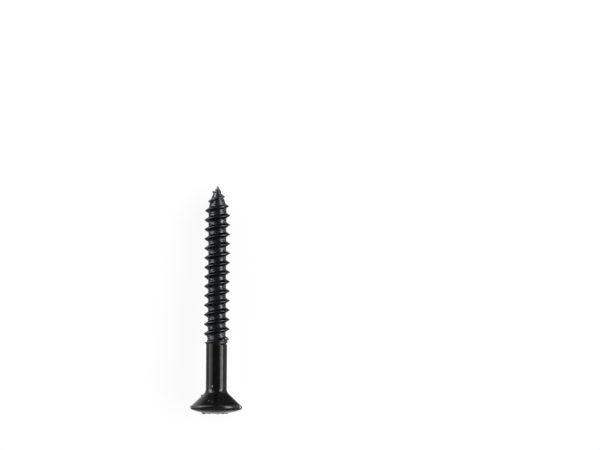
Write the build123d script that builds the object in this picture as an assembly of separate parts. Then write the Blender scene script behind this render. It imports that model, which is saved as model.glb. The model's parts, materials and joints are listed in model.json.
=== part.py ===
from build123d import *
import os
from math import acos, atan2, cos, degrees, hypot, pi, radians, sin, sqrt, tan

# Self-tapping screw, 3.0 x 25 mm, cold-headed from wire and thread-rolled: one solid.
# Raised countersunk head with a cross recess, plain shank, right-hand part thread and
# gimlet point. Millimetres.
#
# The screw is built along its own axis. s is the distance along that axis from the widest
# plane of the head towards the point, so the dome lies at negative s. lay_down() then puts
# the finished screw on its side, as it rests on a table, with the point towards +Y.

# Overall
POINT_S = 24.9                 # length from the widest plane of the head to the point
SHANK_R = 1.18

# Head
HEAD_R = 2.95
DOME_RISE = 0.82               # top of the dome above the widest plane
DOME_EDGE_R = 0.30             # the rim's rounding on the side of the dome
CONE_EDGE_R = 0.17             # and on the side of the countersink
RIM_FLATS = 2                  # each side of the rounding is drawn as this many short flats
CONE_HALF_ANGLE = 46.5         # nominally a 90 degree countersink
CONE_FOOT_S = 1.72             # where the countersink would meet the shank with no fillet
NECK_FILLET = 0.8

# Cross recess, type H, size 1
RECESS_TURN = 35.0             # of one wing, from the +X side towards the table
RECESS_SPAN = 3.0              # across two wings, where they cut the dome
RECESS_FOOT_R = 0.635          # wing ends at the bottom of the wings
WING_END_ANGLE = 26.5          # slope of the wing ends from the axis
BOTTOM_ANGLE = 28.0            # slope of the bottom cone
WING_WIDTH = 0.90
WING_DRAFT = 5.0
WING_ROOT_FILLET = 0.16
PUNCH_CLEAR = 0.3              # the punch's shape goes on this far above the dome

# Thread
PITCH = 1.067
CREST_R = 1.45
CORE_R = 1.01
FLANK_ANGLE = 30.0             # each flank from the radial direction, up to a sharp crest
ROOT_BLEND = 0.09              # height of the blend between flank and core
BLEND_SHARE = 0.35             # the blend takes at most this share of a low ridge's height
BLEND_SLOPE = 1.2              # how far the blend spreads for each unit of its height
MIN_HALF = 0.02                # half the ridge's width where it has sunk into the core
SINK = 0.1                     # the ridge is sunk this far into the core it is fused with
LEAST_FOOT = 0.3               # and never below this share of the core's radius
CREST_S_AT_X = 19.44           # a crest passes the +X side of the screw here

# Where the thread starts, at the shank
SHANK_END_S = 7.2
CORE_START_S = 7.62
RUNOUT_START_S = 6.75
RUNOUT_END_S = 8.4
RUNOUT_POWER = 2.0             # the ridge rises as 1 - (1 - share of the way) ** power
RUNOUT_DIP = 0.06              # the ridge starts this far below the shank's surface

# Gimlet point: core and crest both narrow as 1 - (1 - d / reach) ** power
CORE_TAPER = 3.1
CORE_POWER = 1.72
CREST_TAPER = 3.5
CREST_POWER = 2.1
POINT_FLATS = (0.0, 0.34, 0.6, 0.81)  # where the point's curve changes slope, as shares
RIDGE_END = 0.30               # the ridge ends this far from the point
RIDGE_FADE = 0.45
RIDGE_END_DIP = 0.04

STEPS_PER_TURN = 16            # places on each turn where the ridge's edges are worked out
TANGENT_STEP = 1e-5            # in turns, either side of where an edge's direction is wanted
QUARTER_TURN = 0.25            # from the +X side to the side that faces the table


def smooth(x):
    """0 before 0, 1 after 1, and an S-shaped blend between."""
    x = min(1.0, max(0.0, x))
    return x * x * (3 - 2 * x)


def narrowed(radius, s, reach, power):
    """A radius that is full along the thread and narrows towards the point."""
    d = max(0.0, POINT_S - s)
    return radius * (1 - (1 - min(1.0, d / reach)) ** power)


def core_radius(s):
    """The body under the thread: shank, short cone, core, point."""
    if s <= SHANK_END_S:
        return SHANK_R
    if s < CORE_START_S:
        share = (s - SHANK_END_S) / (CORE_START_S - SHANK_END_S)
        return SHANK_R + (CORE_R - SHANK_R) * share
    return narrowed(CORE_R, s, CORE_TAPER, CORE_POWER)


def crest_radius(s):
    """The thread's outside: it rises out of the shank and sinks into the point."""
    if s < RUNOUT_END_S:
        share = max(0.0, (s - RUNOUT_START_S) / (RUNOUT_END_S - RUNOUT_START_S))
        start = SHANK_R - RUNOUT_DIP
        return start + (CREST_R - start) * (1 - (1 - share) ** RUNOUT_POWER)
    core = core_radius(s)
    full = narrowed(CREST_R, s, CREST_TAPER, CREST_POWER)
    fade = smooth((POINT_S - s - RIDGE_END) / RIDGE_FADE)
    return core + (full - core) * fade - RIDGE_END_DIP * (1 - fade)


def dome_radius():
    """Radius of the dome that runs smoothly into the rim's rounding."""
    centre = HEAD_R - DOME_EDGE_R
    return (centre ** 2 + DOME_RISE ** 2 - DOME_EDGE_R ** 2) / (2 * (DOME_RISE - DOME_EDGE_R))


def dome_s(radius):
    """Where the dome's surface lies, at this distance from the axis."""
    return dome_radius() - DOME_RISE - sqrt(dome_radius() ** 2 - radius ** 2)


def rim_side(radius, first, last):
    """Points along one side of the rim's rounding, between two angles from the widest plane."""
    angles = [first + (last - first) * k / RIM_FLATS for k in range(RIM_FLATS + 1)]
    return [(HEAD_R - radius + radius * cos(a), radius * sin(a)) for a in angles]


def rim():
    """The rim's rounding, from the dome to the fine crease where the countersink starts."""
    first = -acos((HEAD_R - DOME_EDGE_R) / (dome_radius() - DOME_EDGE_R))
    cone = radians(CONE_HALF_ANGLE)
    gap = (SHANK_R - HEAD_R + CONE_EDGE_R) * cos(cone) + CONE_FOOT_S * sin(cone)
    last = cone + acos(gap / CONE_EDGE_R)
    return rim_side(DOME_EDGE_R, first, 0) + rim_side(CONE_EDGE_R, 0, last)[1:]


def head_profile():
    """Dome, rim, countersink and neck, as one line from the axis to the shank."""
    edge = rim()
    half_way = edge[0][0] / 2
    with BuildLine() as line:
        ThreePointArc((0, -DOME_RISE), (half_way, dome_s(half_way)), edge[0])
        Polyline(*edge)
        FilletPolyline(edge[-1], (SHANK_R, CONE_FOOT_S), (SHANK_R, SHANK_END_S), radius=NECK_FILLET)
    return line.line


def point_profile():
    """Cone down to the core, the core itself and the gimlet point, ending on the axis."""
    places = [POINT_S - CORE_TAPER * (1 - share) for share in POINT_FLATS]
    ogive = [(core_radius(s), s) for s in places]
    with BuildLine() as line:
        Polyline((SHANK_R, SHANK_END_S), (CORE_R, CORE_START_S), *ogive, (0, POINT_S))
    return line.line


def blank():
    """The screw without its thread and recess: one turned profile."""
    with BuildSketch(Plane.XZ) as sketch:
        with BuildLine():
            add(head_profile())
            add(point_profile())
            Line((0, POINT_S), (0, -DOME_RISE))
        make_face()
    return revolve(sketch.sketch, axis=Axis.Z)


def ridge_section(turn):
    """The ridge's outline at one place on the helix, as (radius, s) corners."""
    s = CREST_S_AT_X + turn * PITCH
    crest = crest_radius(s)
    height = max(0.0, crest - core_radius(s))
    blend = min(ROOT_BLEND, BLEND_SHARE * height)
    flank_half = MIN_HALF + (height - blend) * tan(radians(FLANK_ANGLE))
    foot_half = flank_half + BLEND_SLOPE * (blend + SINK)

    def shoulder(offset):
        return min(crest, core_radius(s + offset) + blend), s + offset

    def foot(offset):
        core = core_radius(s + offset)
        return min(crest, max(LEAST_FOOT * core, core - SINK)), s + offset

    return [
        (crest, s),
        shoulder(flank_half),
        foot(foot_half),
        foot(-foot_half),
        shoulder(-flank_half),
    ]


def ridge_corner(index, turn):
    """One corner of the ridge's outline, in its place around the screw."""
    radius, s = ridge_section(turn)[index]
    angle = 2 * pi * turn
    return Vector(radius * cos(angle), radius * sin(angle), s)


def ridge_direction(index, turn):
    """How fast a corner moves along the helix at one place, for each turn."""
    before = ridge_corner(index, turn - TANGENT_STEP)
    after = ridge_corner(index, turn + TANGENT_STEP)
    return (after - before) / (2 * TANGENT_STEP)


def ridge_edge(index, start, end):
    """The helical line that one corner of the outline follows."""
    count = max(4, round((end - start) * STEPS_PER_TURN))
    turns = [start + (end - start) * k / count for k in range(count + 1)]
    tangents = [ridge_direction(index, t) for t in (start, end)]
    points = [ridge_corner(index, t) for t in turns]
    return Edge.make_spline(points, tangents=tangents, parameters=turns, scale=False)


def ridge_turn(start, end):
    """One turn of the ridge: faces ruled between its helical edges, closed at both ends."""
    corners = len(ridge_section(start))
    edges = [ridge_edge(k, start, end) for k in range(corners)]
    faces = [Face.make_surface_from_curves(edges[k - 1], edges[k]) for k in range(corners)]
    for turn in (start, end):
        outline = Wire.make_polygon([ridge_corner(k, turn) for k in range(corners)], close=True)
        faces.append(Face(outline))
    return Solid(Shell(faces))


def ridge_turns():
    """The whole ridge as a stack of single turns, the last one shorter."""
    turn = (RUNOUT_START_S - CREST_S_AT_X) / PITCH
    last = (POINT_S - RIDGE_END - CREST_S_AT_X) / PITCH
    turns = []
    while turn < last:
        turns.append(ridge_turn(turn, min(turn + 1, last)))
        turn += 1
    return turns


def recess():
    """What the punch leaves in the dome: four tapered wings around a bottom cone."""
    slope = tan(radians(WING_END_ANGLE))
    top_s = -DOME_RISE - PUNCH_CLEAR
    foot_s = dome_s(RECESS_SPAN / 2) + (RECESS_SPAN / 2 - RECESS_FOOT_R) / slope
    bottom_s = foot_s + RECESS_FOOT_R * tan(radians(BOTTOM_ANGLE))
    with BuildSketch(Plane.XZ) as half:
        with BuildLine():
            Polyline(
                (0, top_s),
                (RECESS_FOOT_R + (foot_s - top_s) * slope, top_s),
                (RECESS_FOOT_R, foot_s),
                (0, bottom_s),
                close=True,
            )
        make_face()
    cone = revolve(half.sketch, axis=Axis.Z)
    with BuildSketch(Plane((0, 0, top_s))) as cross:
        Rectangle(2 * HEAD_R, WING_WIDTH)
        Rectangle(WING_WIDTH, 2 * HEAD_R)
        inner = cross.vertices().filter_by(lambda v: hypot(v.X, v.Y) < WING_WIDTH)
        fillet(inner, WING_ROOT_FILLET)
    wings = extrude(cross.sketch, amount=bottom_s - top_s, taper=WING_DRAFT)
    return Rot(Z=RECESS_TURN) * (cone & wings)


def rest_tilt():
    """The slope at which the rim of the head and one crest both touch the table."""
    slopes = []
    for turn in range(int((POINT_S - CREST_S_AT_X) / PITCH)):
        s = CREST_S_AT_X + (turn + QUARTER_TURN) * PITCH
        crest = crest_radius(s)
        slopes.append(max(atan2(rim_r - crest, s - rim_s) for rim_r, rim_s in rim()))
    return degrees(min(slopes))


def lay_down(screw):
    """On its side, point towards +Y, lowest at z = 0 and centred over the origin."""
    tilted = Rot(X=-90 - rest_tilt()) * screw
    box = tilted.bounding_box()
    return Pos(-box.center().X, -box.center().Y, -box.min.Z) * tilted


def build_screw():
    return lay_down(blank() + ridge_turns() - recess())


if __name__ == "__main__":
    os.makedirs("parts", exist_ok=True)
    screw = build_screw()
    screw.label = "screw"
    export_step(screw, "parts/screw.step")
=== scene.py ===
import json
from math import acos, atan2, copysign, cos, hypot, pi, radians, sin, sqrt, tan
from types import SimpleNamespace

import bmesh
import bpy
from mathutils import Matrix, Vector


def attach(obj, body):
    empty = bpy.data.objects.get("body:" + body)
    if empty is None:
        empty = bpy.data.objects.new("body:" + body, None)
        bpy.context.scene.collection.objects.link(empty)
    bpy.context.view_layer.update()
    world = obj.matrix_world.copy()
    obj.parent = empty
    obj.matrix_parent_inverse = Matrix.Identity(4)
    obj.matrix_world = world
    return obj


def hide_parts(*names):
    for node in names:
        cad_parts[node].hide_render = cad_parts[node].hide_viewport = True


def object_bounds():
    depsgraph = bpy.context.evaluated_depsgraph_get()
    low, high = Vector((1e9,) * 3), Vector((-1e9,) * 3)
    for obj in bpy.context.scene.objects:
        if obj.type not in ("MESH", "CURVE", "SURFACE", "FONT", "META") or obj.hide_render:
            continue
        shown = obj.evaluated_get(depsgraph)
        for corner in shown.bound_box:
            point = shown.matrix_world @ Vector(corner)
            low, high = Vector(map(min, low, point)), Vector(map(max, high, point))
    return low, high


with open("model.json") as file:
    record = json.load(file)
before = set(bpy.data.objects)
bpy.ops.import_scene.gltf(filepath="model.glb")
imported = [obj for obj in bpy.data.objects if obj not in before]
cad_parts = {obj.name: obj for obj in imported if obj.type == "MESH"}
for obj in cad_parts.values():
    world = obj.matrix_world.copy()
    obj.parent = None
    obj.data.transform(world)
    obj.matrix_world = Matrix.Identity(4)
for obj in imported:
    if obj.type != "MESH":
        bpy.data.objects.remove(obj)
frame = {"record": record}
cad_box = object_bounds()

# The screw is shaped in millimetres along its own axis, where s is the distance from the
# widest plane of the head towards the point, and angles run round it from the +X side, with
# a quarter turn facing the table. place() then lays it down where the solid lies.

MM = 0.001
MOUNTS = {mount["name"]: mount for mount in frame["record"]["mounts"]}
HEAD_CENTRE = Vector(MOUNTS["countersink"]["pos_m"])
ALONG = Vector(MOUNTS["countersink"]["axis"])
ACROSS = Vector((1, 0, 0))
TOWARDS_FLOOR = ALONG.cross(ACROSS)
OWN_AXES = (ACROSS, TOWARDS_FLOOR, ALONG)
NEAR = 1e-4                    # places closer than this are one place

# Overall
INSET = 0.007                  # the mesh stays this far inside the solid's overall size
POINT_S = 24.895
SHANK_R = MOUNTS["shank"]["dims"]["r_mm"]
SHARP_EDGE = radians(38)       # edges that turn more than this are shaded sharp

# Head
RIM_R = (cad_box[1].x - cad_box[0].x) / 2 / MM - INSET
DOME_RISE = 0.82 - INSET
DOME_EDGE_R = 0.30
CONE_EDGE_R = 0.17
RIM_POINTS = 6                 # on each side of the rim's rounding
CONE_HALF_ANGLE = radians(46.5)
CONE_FOOT_S = 1.72
NECK_FILLET = 0.8
FILLET_POINTS = 10
CONE_POINTS = 26
DOME_POINTS = 40
HEAD_STEPS = 192
NECK_S = 2.4                   # the head's mesh ends here, on the shank

# Burrs left by heading: x, y, how far each reaches and how high it stands
DOME_BURRS = (
    (-1.48, -0.30, 0.20, 0.15),
    (-1.28, -0.35, 0.20, 0.13),
    (1.22, -0.50, 0.20, 0.08),
)
# The same for the countersink: x, s, reach and height
CONE_BURRS = ((-1.57, 1.33, 0.22, 0.16),)

# Cross recess
RECESS_TURN = radians(35)      # from a wing on the +X side towards the table
RECESS_SPAN = 3.0
RECESS_FOOT_R = 0.635
WING_END_ANGLE = radians(26.5)
BOTTOM_ANGLE = radians(28.0)
WING_WIDTH = 0.90
WING_DRAFT = radians(5.0)
WING_ROOT_FILLET = 0.16
WING_ROOT_STEPS = 6
PUNCH_CLEAR = 0.3              # how far the punch stands out of the dome
PUNCH_STEPS = 96
TOPS_APART = NEAR * 10         # so that the tops of the punch's two halves don't coincide

# Thread
PITCH = 1.067
CREST_R = MOUNTS["thread"]["dims"]["r_mm"]
CORE_R = 1.01
CREST_S_AT_X = 19.44           # one place where the crest passes the +X side
HEAD_SIDE_FOOT = 0.32          # from the crest to the ridge's foot
HEAD_SIDE_POWER = 1.4
POINT_SIDE_FOOT = 0.29
POINT_SIDE_POWER = 1.2
CREST_EDGE = 0.15              # how blunt the crest is, as a share of the foot
NARROWEST_RIDGE = 0.3          # a low ridge is narrow too, down to this share of its foot
THREAD_STEPS = 120             # steps in one turn
THREAD_START_S = 6.4           # the thread's mesh starts here, still on the shank
SPARE_TURNS = 2                # wound at the start, and then cut off level
# Distances from the crest of the lines that make the profile, close together at the crest
PROFILE_LINES = (
    0.0, 0.012, 0.03, 0.055, 0.085, 0.12, 0.16, 0.205, 0.255, 0.31, 0.37, 0.43, 0.485,
)

# Where the thread starts, at the shank
SHANK_END_S = 7.2
CORE_START_S = 7.62
RUNOUT_START_S = 6.75
RUNOUT_END_S = 8.4
RUNOUT_POWER = 2.0
RUNOUT_DIP = 0.06              # the ridge starts this far below the shank's surface

# Gimlet point
CORE_TAPER = 2.85              # the core narrows over this length
CORE_POWER = 1.72
POINT_BLUNT = 0.08             # the end is rounded off by about this much
CREST_TAPER = 3.5              # and the crest over this
CREST_POWER = 2.1
RIDGE_END = 0.30               # the ridge ends this far before the point
RIDGE_FADE = 0.45              # and sinks into the core over this length

# Small faults of the rolled thread: degrees round the axis and s, how far each reaches round
# in degrees and along in millimetres, and its push outwards and towards the point
THREAD_FAULTS = (
    # the first turn is folded over where it leaves the shank
    (0, 7.74, 30, 0.26, -0.13, 0.0),
    (-10, 7.60, 32, 0.20, 0.15, 0.0),
    (-8, 7.33, 30, 0.17, 0.13, 0.0),
    (0, 7.13, 28, 0.15, -0.16, 0.0),
    (-52, 7.34, 34, 0.36, 0.17, 0.0),
    (-32, 7.57, 9, 0.13, -0.20, 0.0),
    (-56, 7.05, 46, 0.12, -0.13, 0.0),
    # a thin lip stands off on the other side
    (180, 7.19, 40, 0.14, 0.08, 0.09),
    # behind it the core is not yet rolled down to its full depth
    (180, 7.84, 60, 0.46, 0.06, 0.0),
    # the last turns are torn: a nib, and a lip curled over towards the head
    (178, 24.25, 30, 0.18, 0.15, 0.0),
    (190, 23.14, 55, 0.12, 0.05, -0.06),
    (200, 23.05, 62, 0.15, -0.20, 0.11),
    # and the last crest stands clear on the other side
    (0, 24.08, 45, 0.17, -0.11, 0.0),
    (0, 23.50, 45, 0.15, -0.11, 0.0),
)

# Masks for the regions of the finish. Each pair is where a soft edge begins and ends, in s.
DOME_MASK = (-0.72, -0.30)
RIM_MASK = (-0.18, -0.10)
CONE_MASK = (0.12, 0.22)
SHANK_MASK = (1.3, 2.0)
THREAD_MASK = (7.0, 7.4)
TIP_MASK = (23.3, 24.1)
# The same in shares of the radius, from the middle of the screw to its side
SIDES_MASK = (0.15, 0.40)
LEFT_MASK = (0.40, 0.85)
RIGHT_MASK = (0.45, 0.90)
# and in millimetres: to the right of the axis, out from it, and along from the crest
DOME_RIGHT_MASK = (0.2, 2.0)
RIDGE_MASK = (1.06, 1.24)
CREST_MASK = (0.03, 0.10)

# Patterns of the finish: lumps to the millimetre, detail and roughness of the noise
CLOUDS = (1.4, 3.0, 0.5)
GRAIN = (9.0, 3.0, 0.6)
LUMPS = (3.2, 1.0, 0.5)
MARKS = (2.5, 1.5, 0.5)
MARKS_STRETCH = (1, 1, 3.4)    # marks of rolling are longer round the screw than along it
# Noise keeps near its middle, so these are the bands of it that a step spreads out
SOFT_STEP = (0.30, 0.70)
PLAIN_STEP = (0.35, 0.65)
HARD_STEP = (0.38, 0.62)

# Tone of the metal. Mottle and marks change it by a share, and wear, painted highlights and shade,
# and spots add to it.
TONE = (0.018, 0.025)
DARKEST = 0.0015
TONE_CLOUDS = 0.6              # the share of clouds in its unevenness, and the rest is grain
CONE_MOTTLE = (-0.90, -0.25)
SHANK_DARKER = 0.12
MARK_DARK = -0.65
MARK_LIGHT = 2.4
TIP_MARK_LIGHT = 2.6           # on top of that at the tip
# Crests: real wear plus a painted glint, in patches, on the sides, with less of the painted glint on
# the right
CREST_WEAR_AND_GLINT = 0.095
# a painted highlight along the left of the rim
RIM_PAINTED_HIGHLIGHT = 0.052
CREST_WEAR_AND_GLINT_PATCHES = (0.4, 1.0)
RIGHT_CREST_GLINT_LOSS = 0.7
GREEN_CAST = 0.985
BLUE_CAST = 1.02
THREAD_RED_LOSS = 0.05
THREAD_BLUE_GAIN = 0.08
# Specks and painted light on the side that faces up: x, s, distance from the axis, how far each
# reaches and what it adds to the tone, which is less than nothing where it is dark. Besides real
# specks, some are painted highlights and one is painted shade.
SPECKS_AND_PAINTED_LIGHT = (
    # a bare speck on the shank
    (-0.42, 2.33, 1.18, 0.10, 0.5),
    # specks on the countersink, and its dark burr
    (-0.77, 0.68, 2.27, 0.12, 0.11),
    (-0.36, 0.56, 2.40, 0.10, 0.09),
    (-1.40, 1.31, 1.62, 0.10, 0.18),
    (-1.60, 1.30, 1.68, 0.16, -0.04),
    # a painted glint at the end of the rim
    (2.74, 0.0, 2.95, 0.20, 0.75),
    # painted highlights on the two sides of the neck
    (-0.71, 1.72, 1.26, 0.34, 0.035),
    (0.60, 1.86, 1.21, 0.28, 0.02),
    # painted highlights on the edges of the fold, and painted shade in the pit between them
    (0.72, 7.60, 1.22, 0.13, 0.28),
    (0.92, 7.68, 1.30, 0.14, 0.44),
    (1.02, 7.70, 1.25, 0.13, 0.5),
    (1.14, 7.61, 1.30, 0.11, 0.24),
    (0.80, 7.61, 1.38, 0.12, 0.16),
    (0.84, 7.24, 1.31, 0.14, 0.17),
    (0.69, 7.12, 1.18, 0.10, 0.10),
    (1.06, 7.60, 1.22, 0.09, -0.18),
    (1.06, 7.42, 1.22, 0.13, 0.18),
    (0.54, 7.22, 1.24, 0.23, 0.34),
    # the nib, a painted highlight on the torn lip, and the point
    (-0.52, 24.25, 0.52, 0.20, -0.11),
    (-0.86, 23.28, 0.95, 0.24, 0.44),
    (0.0, 24.80, 0.10, 0.50, 0.14),
)
SPOT_CORE = 0.4                # the share of its reach in which a spot has its full strength

# Surface of the metal
ROUGHNESS = (0.17, 0.27)
ROUGHNESS_CLOUDS = 0.5         # the share of clouds in its unevenness
DUSTY_THREAD = 0.25            # how far the thread, its ridges apart, is from plain metal
REFLECTION_LEVEL = 0.25        # of the share that is not metal
EDGE_TINT = 0.4                # how much the metal reflects at a low angle
RELIEF_DEPTH = 0.02 * MM
RELIEF_STRENGTH = 0.5
PLAIN_LUMPS = 0.5              # lumps off the thread, as a share of those on it
GRAIN_RELIEF = 0.3
RIDGE_POLISH = 0.8             # how far the ridges are free of the marks' relief

# Oil on it. These are weights of one thin clear layer, and they add up where regions meet.
OIL = 0.04
RIM_OIL = 0.50
SHANK_OIL = 0.14
SHANK_SIDE_OIL = 0.17
THREAD_OIL = 0.10
DOME_OIL = 0.62
DOME_RIGHT_OIL = 0.55
CONE_LEFT_OIL = 0.85
CONE_RIGHT_OIL = 0.10
OIL_ROUGHNESS = 0.12
OIL_IOR = 1.42
DRY_SPOT = -0.04               # a spot as dark as this has no oil

# Light. Two soft walls stand low on the left and the right, each fading in over its foot and
# out over its top, given as sines of the elevation, and in over its ends, given as cosines of
# the bearing from its middle, where one above 1 keeps the wall short of its full strength.
# The middle's bearing is taken round towards the screw's point.
RIGHT_BEARING = radians(2)
RIGHT_WALL = dict(
    middle=(cos(RIGHT_BEARING), sin(RIGHT_BEARING), 0),
    strength=6.9,
    foot=(0.14, 0.30),
    top=(0.60, 0.76),
    ends=(0.42, 0.95),
)
LEFT_BEARING = radians(32)
LEFT_WALL = dict(
    middle=(-cos(LEFT_BEARING), sin(LEFT_BEARING), 0),
    strength=5.0,
    foot=(-0.36, -0.04),
    top=(0.22, 0.88),
    ends=(0.66, 1.02),
)
HORIZON = 0.51
CEILING = 0.22
CEILING_EDGE = (0.2, 0.7)      # from the horizon's level to the ceiling's, as such sines

# Floor, in metres
FLOOR_R = 0.8
FLOOR_STEPS = 96
SHEET_TONE = 0.9
FLOOR_WHITE = 0.90             # how much of what is seen of the sheet is plain white

# Camera, in metres and radians
CAMERA_HEIGHT = 0.350
VIEW_WIDTH = 0.0679            # of the floor, seen by the camera
VIEW_CENTRE = (0.0093, 0.00849)
VIEW_TURN = 0.0052
SENSOR_MM = 36
CLIP_START = 0.01


def smooth(x):
    """0 before 0, 1 after 1, and an S-shaped blend between."""
    x = min(1.0, max(0.0, x))
    return x * x * (3 - 2 * x)


def narrowed(radius, d, reach, power):
    """A radius that is full along the thread and narrows towards the point, d away."""
    return radius * (1 - (1 - min(1.0, d / reach)) ** power)


def core_radius(s):
    """The body under the thread: shank, short cone, core, point."""
    if s <= CORE_START_S:
        share = (s - SHANK_END_S) / (CORE_START_S - SHANK_END_S)
        return SHANK_R + (CORE_R - SHANK_R) * smooth(share)
    d = max(0.0, POINT_S - s)
    return narrowed(CORE_R, sqrt(d * (d + 2 * POINT_BLUNT)), CORE_TAPER, CORE_POWER)


def crest_radius(s):
    """The thread's outside: it rises out of the shank and sinks into the point."""
    if s < RUNOUT_END_S:
        share = max(0.0, (s - RUNOUT_START_S) / (RUNOUT_END_S - RUNOUT_START_S))
        start = SHANK_R - RUNOUT_DIP
        return start + (CREST_R - start) * (1 - (1 - share) ** RUNOUT_POWER)
    core = core_radius(s)
    full = narrowed(CREST_R, max(0.0, POINT_S - s), CREST_TAPER, CREST_POWER)
    return core + (full - core) * smooth((POINT_S - s - RIDGE_END) / RIDGE_FADE)


def ridge_share(offset, scale):
    """The ridge's height at this distance from its crest, as a share of the full height."""
    towards_point = offset > 0
    foot = (POINT_SIDE_FOOT if towards_point else HEAD_SIDE_FOOT) * scale
    power = POINT_SIDE_POWER if towards_point else HEAD_SIDE_POWER
    t = abs(offset) / foot
    t = sqrt(t * t + CREST_EDGE ** 2) - CREST_EDGE
    return max(0.0, 1 - t) ** power


def thread_radius(s, turn_share):
    """The threaded surface at one place, turn_share being the angle round it in turns."""
    turns = (s - CREST_S_AT_X) / PITCH - turn_share
    offset = (turns - round(turns)) * PITCH
    height = max(0.0, crest_radius(s - offset) - core_radius(s - offset))
    fullness = min(1.0, height / (CREST_R - CORE_R))
    scale = NARROWEST_RIDGE + (1 - NARROWEST_RIDGE) * fullness
    return core_radius(s) + height * ridge_share(offset, scale)


def profile_offsets():
    """Where the profile's lines lie along one pitch, from root to root over the crest."""
    towards_point = [*PROFILE_LINES, PITCH / 2]
    towards_head = [-d for d in reversed(towards_point[1:])]
    return towards_head + towards_point


def chain(bm, points):
    """A line of joined vertices through these places."""
    verts = [bm.verts.new(p) for p in points]
    edges = [bm.edges.new(pair) for pair in zip(verts, verts[1:])]
    return verts + edges


def everything(bm):
    """All the geometry of bm, as its operators take it."""
    return bm.verts[:] + bm.edges[:] + bm.faces[:]


def only_verts(geometry):
    """The vertices among what an operator gives back."""
    return [part for part in geometry if isinstance(part, bmesh.types.BMVert)]


def one_turn(first_crest):
    """A pitch of profile wound once round the axis, on a cylinder of radius 1."""
    bm = bmesh.new()
    bmesh.ops.spin(
        bm,
        geom=chain(bm, [(1, 0, first_crest + offset) for offset in profile_offsets()]),
        cent=(0, 0, 0),
        axis=(0, 0, 1),
        dvec=(0, 0, PITCH / THREAD_STEPS),
        angle=2 * pi,
        steps=THREAD_STEPS,
        use_merge=False,
        use_duplicate=False,
    )
    return bm


def mar(bm, bearing, level, reach_round, reach_along, out, along):
    """Pushes a patch of the threaded surface outwards (or in) and towards the point."""
    for vert in bm.verts:
        angle = atan2(vert.co.y, vert.co.x)
        off_round = (angle / pi * 180 - bearing + 180) % 360 - 180
        away = hypot(off_round / reach_round, (vert.co.z - level) / reach_along)
        if away < 1:
            push = smooth(1 - away)
            vert.co += Vector((out * cos(angle), out * sin(angle), along)) * push


def threaded_part():
    """Thread, core and point: turn upon turn up the axis, cut level at both ends."""
    before = int((CREST_S_AT_X - THREAD_START_S) / PITCH) + SPARE_TURNS
    turns = int((POINT_S - THREAD_START_S) / PITCH) + SPARE_TURNS + 1
    bm = one_turn(CREST_S_AT_X - PITCH * before)
    wound = everything(bm)
    for turn in range(1, turns):
        copy = bmesh.ops.duplicate(bm, geom=wound)["geom"]
        bmesh.ops.translate(bm, verts=only_verts(copy), vec=(0, 0, turn * PITCH))
    bmesh.ops.remove_doubles(bm, verts=bm.verts, dist=NEAR)
    for level, below in ((THREAD_START_S, True), (POINT_S, False)):
        bmesh.ops.bisect_plane(
            bm,
            geom=everything(bm),
            dist=NEAR,
            plane_co=(0, 0, level),
            plane_no=(0, 0, 1),
            clear_inner=below,
            clear_outer=not below,
        )
    for vert in bm.verts:
        angle = atan2(vert.co.y, vert.co.x)
        radius = thread_radius(vert.co.z, angle / (2 * pi))
        vert.co.x = radius * cos(angle)
        vert.co.y = radius * sin(angle)
    bmesh.ops.remove_doubles(bm, verts=bm.verts, dist=NEAR)
    for fault in THREAD_FAULTS:
        mar(bm, *fault)
    return bm


def dome_radius():
    """Radius of the dome that runs smoothly into the rim's rounding."""
    centre = RIM_R - DOME_EDGE_R
    return (centre ** 2 + DOME_RISE ** 2 - DOME_EDGE_R ** 2) / (2 * (DOME_RISE - DOME_EDGE_R))


def dome_s(radius):
    """Where the dome's surface lies, at this distance from the axis."""
    return dome_radius() - DOME_RISE - sqrt(dome_radius() ** 2 - radius ** 2)


def share_out(first, last, count):
    """count evenly spaced values from first to last, both included."""
    return [first + (last - first) * k / (count - 1) for k in range(count)]


def rim_side(radius, first, last):
    """Points along one side of the rim's rounding, between two angles from the widest plane."""
    return [
        (RIM_R - radius + radius * cos(angle), radius * sin(angle))
        for angle in share_out(first, last, RIM_POINTS)
    ]


def rim():
    """The rim's rounding, from the dome to the fine crease where the countersink starts."""
    first = -acos((RIM_R - DOME_EDGE_R) / (dome_radius() - DOME_EDGE_R))
    gap = (SHANK_R - RIM_R + CONE_EDGE_R) * cos(CONE_HALF_ANGLE)
    gap += CONE_FOOT_S * sin(CONE_HALF_ANGLE)
    last = CONE_HALF_ANGLE + acos(gap / CONE_EDGE_R)
    return rim_side(DOME_EDGE_R, first, 0) + rim_side(CONE_EDGE_R, 0, last)[1:]


def head_profile():
    """From the middle of the dome over the rim, down the countersink and onto the shank."""
    edge = rim()
    dome = [(r, dome_s(r)) for r in share_out(0, edge[0][0], DOME_POINTS)]
    reach = NECK_FILLET * tan(CONE_HALF_ANGLE / 2)
    fillet = [
        (
            SHANK_R + NECK_FILLET * (1 - cos(angle)),
            CONE_FOOT_S + reach - NECK_FILLET * sin(angle),
        )
        for angle in share_out(CONE_HALF_ANGLE, 0, FILLET_POINTS)
    ]
    cone = list(zip(
        share_out(edge[-1][0], fillet[0][0], CONE_POINTS),
        share_out(edge[-1][1], fillet[0][1], CONE_POINTS),
    ))
    return dome[:-1] + edge + cone[1:-1] + fillet + [(SHANK_R, NECK_S)]


def turned(bm, profile, steps):
    """A profile of (radius, s) points spun round the axis into bm."""
    line = chain(bm, [(r, 0, s) for r, s in profile])
    bmesh.ops.spin(
        bm,
        geom=line,
        cent=(0, 0, 0),
        axis=(0, 0, 1),
        dvec=(0, 0, 0),
        angle=2 * pi,
        steps=steps,
        use_merge=True,
        use_duplicate=False,
    )
    bmesh.ops.remove_doubles(bm, verts=bm.verts, dist=NEAR)
    bmesh.ops.recalc_face_normals(bm, faces=bm.faces)


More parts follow.
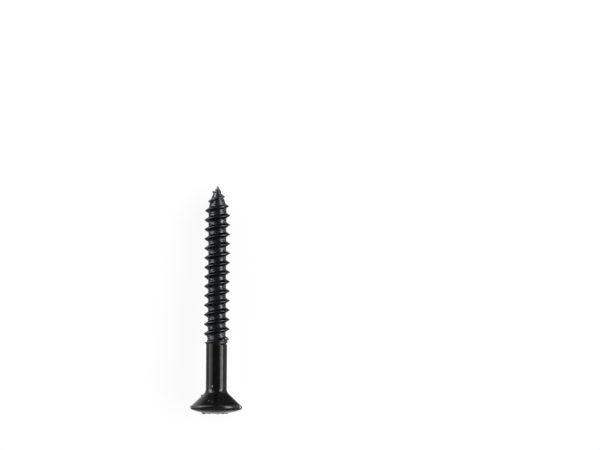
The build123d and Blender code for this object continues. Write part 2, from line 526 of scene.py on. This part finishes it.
def as_object(bm, name):
    """A new object in the scene with this bmesh as its mesh."""
    mesh = bpy.data.meshes.new(name)
    bm.to_mesh(mesh)
    bm.free()
    made = bpy.data.objects.new(name, mesh)
    bpy.context.scene.collection.objects.link(made)
    return made


def combined(target, tool, operation):
    """The mesh that a Boolean of two objects gives. Both objects are used up."""
    cut = target.modifiers.new("cut", "BOOLEAN")
    cut.operation = operation
    cut.solver = "EXACT"
    cut.object = tool
    depsgraph = bpy.context.evaluated_depsgraph_get()
    mesh = bpy.data.meshes.new_from_object(target.evaluated_get(depsgraph))
    for used in (target, tool):
        bpy.data.objects.remove(used)
    return mesh


def in_corner(face):
    """Whether a face of the cross's grid lies between two wings."""
    centre = face.calc_center_median()
    return min(abs(centre.x), abs(centre.y)) > WING_WIDTH / 2


def wing_sides(verts):
    """Each vertex with each axis on which it stands at a wing's side, not at its end."""
    return [
        (vert, axis)
        for vert in verts
        for axis in (0, 1)
        if abs(vert.co[axis]) < RIM_R - NEAR
    ]


def punch_cross(top_s, depth):
    """Four wings with drafted sides and filleted roots, from top_s down to this depth."""
    cross = bmesh.new()
    bmesh.ops.create_grid(cross, x_segments=3, y_segments=3, size=RIM_R)
    for vert, axis in wing_sides(cross.verts):
        vert.co[axis] = copysign(WING_WIDTH / 2, vert.co[axis])
    corners = [face for face in cross.faces if in_corner(face)]
    bmesh.ops.delete(cross, geom=corners, context="FACES")
    bmesh.ops.bevel(
        cross,
        geom=[vert for vert in cross.verts if hypot(vert.co.x, vert.co.y) < WING_WIDTH],
        offset=WING_ROOT_FILLET,
        segments=WING_ROOT_STEPS,
        profile=0.5,
        affect="VERTICES",
        material=-1,
    )
    bmesh.ops.translate(cross, verts=cross.verts, vec=(0, 0, top_s - TOPS_APART))
    lower = only_verts(bmesh.ops.extrude_face_region(cross, geom=cross.faces[:])["geom"])
    bmesh.ops.translate(cross, verts=lower, vec=(0, 0, depth))
    for vert, axis in wing_sides(lower):
        vert.co[axis] -= copysign(depth * tan(WING_DRAFT), vert.co[axis])
    bmesh.ops.recalc_face_normals(cross, faces=cross.faces)
    return cross


def punch():
    """The tool that heads the recess: a drafted cross inside a cone with sloping ends."""
    slope = tan(WING_END_ANGLE)
    top_s = -DOME_RISE - PUNCH_CLEAR
    foot_s = dome_s(RECESS_SPAN / 2) + (RECESS_SPAN / 2 - RECESS_FOOT_R) / slope
    bottom_s = foot_s + RECESS_FOOT_R * tan(BOTTOM_ANGLE)
    top_r = RECESS_FOOT_R + (foot_s - top_s) * slope
    cone = bmesh.new()
    turned(cone, [(0, top_s), (top_r, top_s), (RECESS_FOOT_R, foot_s), (0, bottom_s)], PUNCH_STEPS)
    cross = punch_cross(top_s, bottom_s - top_s)
    return combined(as_object(cone, "punch_cone"), as_object(cross, "punch_cross"), "INTERSECT")


def lump(bm, centre, reach, push):
    """Pushes the surface round one place out (or in) as a small rounded lump."""
    for vert in bm.verts:
        share = 1 - (vert.co - Vector(centre)).length / reach
        vert.co += Vector(push) * smooth(share)


def head_part():
    """The head as one turned profile with the recess cut into its dome."""
    blank = bmesh.new()
    turned(blank, head_profile(), HEAD_STEPS)
    for x, y, reach, height in DOME_BURRS:
        lump(blank, (x, y, dome_s(hypot(x, y))), reach, (0, 0, -height))
    for x, s, reach, height in CONE_BURRS:
        lump(blank, (x, 0, s), reach, (copysign(height, x), 0, 0))
    neck = [edge for edge in blank.edges if edge.is_boundary]
    bmesh.ops.contextual_create(blank, geom=neck)
    bmesh.ops.recalc_face_normals(blank, faces=blank.faces)
    tool = bpy.data.objects.new("punch", punch())
    tool.rotation_euler.z = RECESS_TURN
    bpy.context.scene.collection.objects.link(tool)
    return combined(as_object(blank, "head_blank"), tool, "DIFFERENCE")


def is_level(part, level):
    """Whether an edge or a face lies level with this s."""
    return all(abs(vert.co.z - level) < NEAR for vert in part.verts)


def open_ring(bm, level):
    """The open edges of bm that lie level with this s."""
    return [edge for edge in bm.edges if edge.is_boundary and is_level(edge, level)]


def place(bm):
    """From the screw's own millimetres to its place in the frame."""
    turn = Matrix(OWN_AXES).transposed().to_4x4()
    matrix = Matrix.Translation(HEAD_CENTRE) @ turn @ Matrix.Scale(MM, 4)
    bmesh.ops.transform(bm, matrix=matrix, verts=bm.verts)


def screw_body():
    """Head, shank, thread and point in one closed mesh."""
    bm = threaded_part()
    bm.from_mesh(head_part())
    cap = [face for face in bm.faces if is_level(face, NECK_S)]
    bmesh.ops.delete(bm, geom=cap, context="FACES_ONLY")
    rings = open_ring(bm, NECK_S) + open_ring(bm, THREAD_START_S)
    bmesh.ops.bridge_loops(bm, edges=rings)
    bmesh.ops.recalc_face_normals(bm, faces=bm.faces)
    place(bm)
    for face in bm.faces:
        face.smooth = True
    for edge in bm.edges:
        edge.smooth = edge.calc_face_angle(0.0) < SHARP_EDGE
    return as_object(bm, "screw_body")


class Wire:
    """One output of a shader node. Arithmetic on it adds Math nodes."""

    def __init__(self, finish, socket):
        self.finish = finish
        self.socket = socket

    def __add__(self, other):
        return self.finish.math("ADD", self, other)

    def __sub__(self, other):
        return self.finish.math("SUBTRACT", self, other)

    def __rsub__(self, other):
        return self.finish.math("SUBTRACT", other, self)

    def __mul__(self, other):
        return self.finish.math("MULTIPLY", self, other)

    def __truediv__(self, other):
        return self.finish.math("DIVIDE", self, other)

    __radd__ = __add__
    __rmul__ = __mul__


class Finish:
    """A material or a world, whose nodes are all made by add()."""

    def __init__(self, owner):
        owner.use_nodes = True
        self.owner = owner
        self.tree = owner.node_tree
        self.tree.nodes.clear()

    def add(self, kind, settings=None, inputs=None, output=0):
        """A new node with these settings and values or wires at its inputs, as its output."""
        node = self.tree.nodes.new(kind)
        for name, value in (settings or {}).items():
            setattr(node, name, value)
        for name, value in (inputs or {}).items():
            if isinstance(value, Wire):
                self.tree.links.new(value.socket, node.inputs[name])
            else:
                node.inputs[name].default_value = value
        return Wire(self, node.outputs[output]) if node.outputs else None

    def parts(self, vector):
        """The three components of a vector, each as a wire."""
        split = self.add("ShaderNodeSeparateXYZ", {}, {0: vector}).socket.node
        return [Wire(self, output) for output in split.outputs]

    def math(self, operation, first, second=0.0):
        """One Math node on two values, of which some operations read only the first."""
        return self.add("ShaderNodeMath", {"operation": operation}, {0: first, 1: second})

    def vector_math(self, operation, first, second, output="Vector"):
        """One Vector Math node on two vectors."""
        return self.add(
            "ShaderNodeVectorMath", {"operation": operation}, {0: first, 1: second}, output
        )

    def between(self, wire, low, high, out_low=0.0, out_high=1.0):
        """A smooth step: out_low below low, out_high above high."""
        return self.add(
            "ShaderNodeMapRange",
            {"interpolation_type": "SMOOTHSTEP", "clamp": True},
            {"Value": wire, "From Min": low, "From Max": high, "To Min": out_low, "To Max": out_high},
        )

    def noise(self, place, scale, detail, roughness):
        """Noise from 0 to 1, with this many lumps to the unit that place is given in."""
        return self.add(
            "ShaderNodeTexNoise",
            {},
            {"Vector": place, "Scale": scale, "Detail": detail, "Roughness": roughness},
        )

    def seen_by(self, *rays):
        """1 for the named kinds of ray, and 0 for the rest."""
        path = self.add("ShaderNodeLightPath").socket.node.outputs
        seen, *others = [Wire(self, path[name]) for name in rays]
        for other in others:
            seen = self.math("MAXIMUM", seen, other)
        return seen


def grey(level):
    """A colour of this level in red, green and blue."""
    return (level, level, level, 1.0)


def own_place(finish):
    """The place on the screw in its own millimetres, as a vector and as x, y and s."""
    at = finish.add("ShaderNodeTexCoord", output="Object")
    at = finish.vector_math("SUBTRACT", at, HEAD_CENTRE)
    parts = [finish.vector_math("DOT_PRODUCT", at, way / MM, "Value") for way in OWN_AXES]
    return finish.add("ShaderNodeCombineXYZ", {}, dict(enumerate(parts))), *parts


def crest_distance(finish, x, y, s):
    """How far along the axis the nearest crest of the thread is."""
    turn = finish.math("ARCTAN2", y, x) / (2 * pi)
    turns = (s - CREST_S_AT_X) / PITCH - turn
    return finish.math("PINGPONG", turns, 0.5) * PITCH


def regions(finish, x, y, s):
    """Masks of the screw's regions, each 1 well inside its region and 0 outside.

    Ridge, groove and crest leave out a strip along the top of the thread and one underneath.
    """
    radius = finish.math("POWER", x * x + y * y, 0.5)
    cone = finish.between(s, *CONE_MASK)
    shank = finish.between(s, *SHANK_MASK)
    threaded = finish.between(s, *THREAD_MASK)
    sides = finish.between(finish.math("ABSOLUTE", x / radius), *SIDES_MASK)
    ridge = threaded * sides * finish.between(radius, *RIDGE_MASK)
    crest = 1 - finish.between(crest_distance(finish, x, y, s), *CREST_MASK)
    return SimpleNamespace(
        dome=1 - finish.between(s, *DOME_MASK),
        dome_right=finish.between(x, *DOME_RIGHT_MASK),
        rim=finish.between(s, *RIM_MASK) * (1 - cone),
        cone=cone * (1 - shank),
        shank=shank * (1 - threaded),
        threaded=threaded,
        ridge=ridge,
        groove=threaded * sides - ridge,
        crest=crest * threaded * sides,
        tip=finish.between(s, *TIP_MASK),
        left=finish.between((x * -1) / radius, *LEFT_MASK),
        right=finish.between(x / radius, *RIGHT_MASK),
    )


def patterns(finish, at):
    """The uneven patterns of the finish, each from 0 to 1."""
    streaky = finish.vector_math("MULTIPLY", at, MARKS_STRETCH)
    return SimpleNamespace(
        clouds=finish.noise(at, *CLOUDS),
        grain=finish.noise(at, *GRAIN),
        lumps=finish.noise(at, *LUMPS),
        marks=finish.noise(streaky, *MARKS),
    )


def spots(finish, at, places):
    """Small round spots on the side that faces up, real specks or painted highlights and shade. Each
    adds its last value to the tone.
    """
    total = 0.0
    for x, s, radius, reach, value in places:
        centre = (x, -sqrt(radius ** 2 - x ** 2), s)
        away = finish.vector_math("DISTANCE", at, centre, "Value")
        total = total + finish.between(away, reach * SPOT_CORE, reach, value, 0.0)
    return total


def metal_tone(finish, on, pattern, spot):
    """How bright the metal is: dark, with marks of rolling, wear and painted glints on the crests, a
    painted highlight on the rim, and specks, painted highlights and painted shade in spots.
    """
    uneven = pattern.clouds * TONE_CLOUDS + pattern.grain * (1 - TONE_CLOUDS)
    tone = finish.between(uneven, *PLAIN_STEP, *TONE)
    mottle = on.cone * finish.between(pattern.grain, *SOFT_STEP, *CONE_MOTTLE)
    lightest = MARK_LIGHT + on.tip * TIP_MARK_LIGHT
    rolled = on.groove * finish.between(pattern.marks, *HARD_STEP, MARK_DARK, lightest)
    tone = tone * (1 + mottle + rolled - on.shank * SHANK_DARKER)
    # Crests get real wear and a painted glint, less on the right; the rim's left gets a painted
    # highlight
    crest_wear_and_glint = on.crest * finish.between(pattern.clouds, *HARD_STEP, *CREST_WEAR_AND_GLINT_PATCHES)
    crest_wear_and_glint = crest_wear_and_glint * (1 - on.right * RIGHT_CREST_GLINT_LOSS)
    tone = tone + crest_wear_and_glint * CREST_WEAR_AND_GLINT + on.rim * on.left * RIM_PAINTED_HIGHLIGHT + spot
    return finish.math("MAXIMUM", tone, DARKEST)


def metal_colour(finish, on, tone):
    """That tone with a slight cast, a little colder on the thread."""
    return finish.add(
        "ShaderNodeCombineColor",
        {},
        {
            0: tone * (1 - on.threaded * THREAD_RED_LOSS),
            1: tone * GREEN_CAST,
            2: tone * (BLUE_CAST + on.threaded * THREAD_BLUE_GAIN),
        },
    )


def oil_weight(finish, on, spot):
    """How much oil each region holds, with none on the darkest spots."""
    oil = (
        OIL
        + on.rim * RIM_OIL
        + on.shank * (SHANK_OIL + (on.left + on.right) * SHANK_SIDE_OIL)
        + on.threaded * THREAD_OIL
        + on.dome * (DOME_OIL + on.dome_right * DOME_RIGHT_OIL)
        + on.cone * (on.left * CONE_LEFT_OIL + on.right * CONE_RIGHT_OIL)
    )
    return oil * finish.between(spot, DRY_SPOT, 0.0)


def relief(finish, on, pattern):
    """A bump of soft lumps, fine grain and, in the grooves, the marks of rolling."""
    lumps = pattern.lumps * (PLAIN_LUMPS + on.threaded * (1 - PLAIN_LUMPS))
    marks = pattern.marks * (on.threaded - on.ridge * RIDGE_POLISH)
    return finish.add(
        "ShaderNodeBump",
        {},
        {
            "Strength": RELIEF_STRENGTH,
            "Distance": RELIEF_DEPTH,
            "Height": lumps + marks + pattern.grain * GRAIN_RELIEF,
        },
    )


def black_finish():
    """Thin black conversion finish on steel, lightly oiled, with wear on crests and edges, and
    painted highlights and shade on crests, rim and spots.
    """
    finish = Finish(bpy.data.materials.new("black_finish"))
    at, x, y, s = own_place(finish)
    on = regions(finish, x, y, s)
    pattern = patterns(finish, at)
    spot = spots(finish, at, SPECKS_AND_PAINTED_LIGHT)
    tone = metal_tone(finish, on, pattern, spot)
    uneven = pattern.clouds * ROUGHNESS_CLOUDS + pattern.grain * (1 - ROUGHNESS_CLOUDS)
    surface = finish.add(
        "ShaderNodeBsdfPrincipled",
        {},
        {
            "Base Color": metal_colour(finish, on, tone),
            "Metallic": 1 - (on.threaded - on.ridge) * DUSTY_THREAD,
            "Roughness": finish.between(uneven, *SOFT_STEP, *ROUGHNESS),
            "Specular IOR Level": REFLECTION_LEVEL,
            "Specular Tint": grey(EDGE_TINT),
            "Coat Weight": oil_weight(finish, on, spot),
            "Coat Roughness": OIL_ROUGHNESS,
            "Coat IOR": OIL_IOR,
            "Normal": relief(finish, on, pattern),
        },
    )
    finish.add("ShaderNodeOutputMaterial", {}, {"Surface": surface})
    return finish.owner


def floor_finish():
    """A plain white sheet, on which the screw's shadow stays faint."""
    finish = Finish(bpy.data.materials.new("pale_floor"))
    seen = finish.seen_by("Is Camera Ray", "Is Glossy Ray", "Is Transmission Ray")
    sheet = finish.add("ShaderNodeBsdfDiffuse", {}, {"Color": grey(SHEET_TONE)})
    white = finish.add("ShaderNodeEmission", {}, {"Color": grey(1.0), "Strength": 1.0})
    surface = finish.add("ShaderNodeMixShader", {}, {0: seen * FLOOR_WHITE, 1: sheet, 2: white})
    finish.add("ShaderNodeOutputMaterial", {}, {"Surface": surface})
    return finish.owner


def pale_floor():
    """The sheet that the screw lies on."""
    bm = bmesh.new()
    bmesh.ops.create_circle(bm, cap_ends=True, segments=FLOOR_STEPS, radius=FLOOR_R)
    floor = as_object(bm, "floor")
    floor.data.materials.append(floor_finish())


def wall(light, direction, middle, strength, foot, top, ends):
    """One soft wall, given the level direction of its middle."""
    z = light.parts(direction)[2]
    level = light.vector_math("MULTIPLY", direction, (1, 1, 0))
    level = light.add("ShaderNodeVectorMath", {"operation": "NORMALIZE"}, {0: level})
    around = light.between(light.vector_math("DOT_PRODUCT", level, middle, "Value"), *ends)
    return around * light.between(z, *foot) * (1 - light.between(z, *top)) * strength


def studio_light():
    """World light: a pale horizon, a dimmer ceiling and two walls, plain white to the camera."""
    world = bpy.data.worlds.new("studio")
    bpy.context.scene.world = world
    light = Finish(world)
    direction = light.add("ShaderNodeTexCoord", output="Generated")
    strength = (
        light.between(light.parts(direction)[2], *CEILING_EDGE, HORIZON, CEILING)
        + wall(light, direction, **RIGHT_WALL)
        + wall(light, direction, **LEFT_WALL)
    )
    strength = strength + (1 - strength) * light.seen_by("Is Camera Ray")
    background = light.add("ShaderNodeBackground", {}, {"Color": grey(1.0), "Strength": strength})
    light.add("ShaderNodeOutputWorld", {}, {"Surface": background})


def camera():
    """Looks straight down from above, with the screw low on the left."""
    data = bpy.data.cameras.new("camera")
    data.sensor_width = SENSOR_MM
    data.lens = SENSOR_MM * CAMERA_HEIGHT / VIEW_WIDTH
    data.clip_start = CLIP_START
    eye = bpy.data.objects.new("camera", data)
    eye.location = (*VIEW_CENTRE, CAMERA_HEIGHT)
    eye.rotation_euler.z = VIEW_TURN
    bpy.context.scene.collection.objects.link(eye)
    bpy.context.scene.camera = eye


screw = screw_body()
screw.data.materials.append(black_finish())
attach(screw, "root")
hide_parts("screw")

pale_floor()
studio_light()
camera()
bpy.context.scene.view_settings.view_transform = "Standard"
